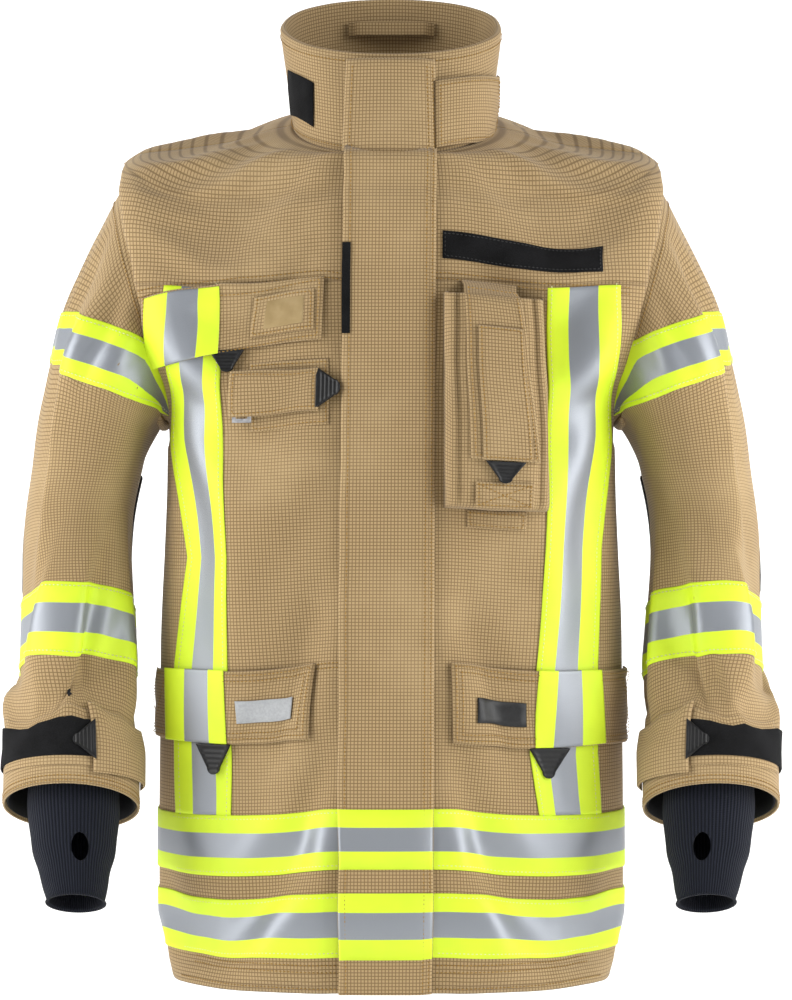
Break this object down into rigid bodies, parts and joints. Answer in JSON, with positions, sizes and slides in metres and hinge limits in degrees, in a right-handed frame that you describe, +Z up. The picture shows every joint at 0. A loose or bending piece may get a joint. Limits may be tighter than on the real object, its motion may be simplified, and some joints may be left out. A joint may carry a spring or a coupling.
{
  "type": "turnout coat",
  "caption": "Firefighter's turnout coat: layered body with storm flap, pockets, swinging sleeves, cuff straps and reflective tape.",
  "frame": {"origin": "middle of the hanger loop inside the back of the collar", "axes": "+Z up, -Y out of the coat's front, +X to the wearer's left"},
  "size_m": [0.8104, 0.3341, 1.0416],
  "materials": {
    "shell_cloth": "ripstop aramid weave, matt",
    "lining_cloth": "quilted dark lining",
    "barrier_film": "laminated moisture barrier",
    "reflective_tape": "fluorescent yellow and silver tape",
    "hook_loop": "black hook and loop tape",
    "knit": "ribbed knit",
    "black_rubber": "moulded, satin",
    "grey_silicone": "moulded, satin",
    "pad_cloth": "coated, matt",
    "clear_vinyl": "clear film over the cloth",
    "fastener_metal": "satin",
    "brass_teeth": "satin"
  },
  "bodies": {
    "coat": {"right_front_panel": "shell_cloth", "left_front_panel": "shell_cloth", "back_panel": "shell_cloth", "right_yoke": "shell_cloth", "left_yoke": "shell_cloth", "back_yoke": "shell_cloth", "collar": "shell_cloth", "moisture_barrier": "barrier_film", "thermal_liner": "lining_cloth", "front_facings": "shell_cloth", "zip_tapes": "hook_loop", "zip_teeth": "brass_teeth", "front_loop_strip": "hook_loop", "hanger_loop": "shell_cloth", "name_loop_panel": "hook_loop", "collar_loop_patch": "hook_loop", "shoulder_loops": "shell_cloth", "reflective_bands": "reflective_tape", "pocket_bags": "lining_cloth", "radio_pocket": "shell_cloth", "lamp_base_patch": "shell_cloth", "lamp_ring": "fastener_metal"},
    "storm_flap": {"storm_flap": "shell_cloth", "storm_flap_bands": "reflective_tape", "storm_flap_hook_strip": "hook_loop", "storm_flap_edge_grip": "black_rubber"},
    "zip_slider": {"zip_slider": "fastener_metal"},
    "right_chest_flap": {"right_chest_flap": "shell_cloth", "right_chest_flap_band": "reflective_tape", "chest_window_patch": "clear_vinyl", "right_chest_pull_tab": "black_rubber"},
    "radio_flap": {"radio_flap": "shell_cloth", "radio_pull_tab": "black_rubber"},
    "right_hip_flap": {"right_hip_flap": "shell_cloth", "right_hip_flap_band": "reflective_tape", "right_hip_badge": "grey_silicone", "right_hip_pull_tab": "black_rubber"},
    "left_hip_flap": {"left_hip_flap": "shell_cloth", "left_hip_flap_band": "reflective_tape", "left_hip_badge": "black_rubber", "left_hip_pull_tab": "black_rubber"},
    "lamp_strap": {"lamp_strap": "shell_cloth", "lamp_pull_tab": "black_rubber"},
    "throat_tab": {"throat_tab": "shell_cloth"},
    "right_sleeve": {"right_sleeve": "shell_cloth", "right_sleeve_liner": "lining_cloth", "right_elbow_pad": "pad_cloth", "right_sleeve_bands": "reflective_tape", "right_cuff_loop_strip": "hook_loop", "right_wristlet": "knit"},
    "left_sleeve": {"left_sleeve": "shell_cloth", "left_sleeve_liner": "lining_cloth", "left_elbow_pad": "pad_cloth", "left_sleeve_bands": "reflective_tape", "left_cuff_loop_strip": "hook_loop", "left_wristlet": "knit"},
    "right_cuff_strap": {"right_cuff_strap": "shell_cloth", "right_cuff_pull_tab": "black_rubber"},
    "left_cuff_strap": {"left_cuff_strap": "shell_cloth", "left_cuff_pull_tab": "black_rubber"}
  },
  "joints": [
    {"name": "storm_flap_hinge", "type": "hinge", "parent": "coat", "child": "storm_flap", "pos_m": [0.043, -0.1899, -0.611], "axis": [0, 0.0469, 0.9989], "range_deg": [0, 95]},
    {"name": "zip_slide", "type": "slide", "parent": "coat", "child": "zip_slider", "axis": [0, -0.0469, -0.9989], "range_m": [0, 0.72]},
    {"name": "right_chest_flap_hinge", "type": "hinge", "parent": "coat", "child": "right_chest_flap", "pos_m": [-0.13, -0.17301, -0.296], "axis": [-0.9969, 0.0784, 0], "range_deg": [0, 105]},
    {"name": "radio_flap_hinge", "type": "hinge", "parent": "coat", "child": "radio_flap", "pos_m": [0.101, -0.19929, -0.297], "axis": [-0.9996, -0.027, 0], "range_deg": [0, 105]},
    {"name": "right_hip_flap_hinge", "type": "hinge", "parent": "coat", "child": "right_hip_flap", "pos_m": [-0.16, -0.16623, -0.684], "axis": [-0.8912, 0.4536, 0], "range_deg": [0, 105]},
    {"name": "left_hip_flap_hinge", "type": "hinge", "parent": "coat", "child": "left_hip_flap", "pos_m": [0.16, -0.16623, -0.684], "axis": [-0.8912, -0.4536, 0], "range_deg": [0, 105]},
    {"name": "lamp_strap_hinge", "type": "hinge", "parent": "coat", "child": "lamp_strap", "pos_m": [-0.158, -0.16801, -0.4], "axis": [0, 0, -1], "range_deg": [0, 90]},
    {"name": "throat_tab_hinge", "type": "hinge", "parent": "coat", "child": "throat_tab", "pos_m": [0.112, -0.074, -0.108], "axis": [0, 0, 1], "range_deg": [0, 75]},
    {"name": "right_sleeve_swing", "type": "hinge", "parent": "coat", "child": "right_sleeve", "pos_m": [-0.254, -0.034, -0.297], "axis": [-0.9818, 0, -0.19], "range_deg": [-12, 45]},
    {"name": "right_cuff_strap_hinge", "type": "hinge", "parent": "right_sleeve", "child": "right_cuff_strap", "pos_m": [-0.2545, -0.129, -0.775], "axis": [0, 0.38, 0.925], "range_deg": [0, 15]},
    {"name": "left_sleeve_swing", "type": "hinge", "parent": "coat", "child": "left_sleeve", "pos_m": [0.254, -0.034, -0.297], "axis": [-0.9818, 0, 0.19], "range_deg": [-12, 45]},
    {"name": "left_cuff_strap_hinge", "type": "hinge", "parent": "left_sleeve", "child": "left_cuff_strap", "pos_m": [0.2545, -0.129, -0.775], "axis": [0, -0.38, -0.925], "range_deg": [0, 15]}
  ]
}
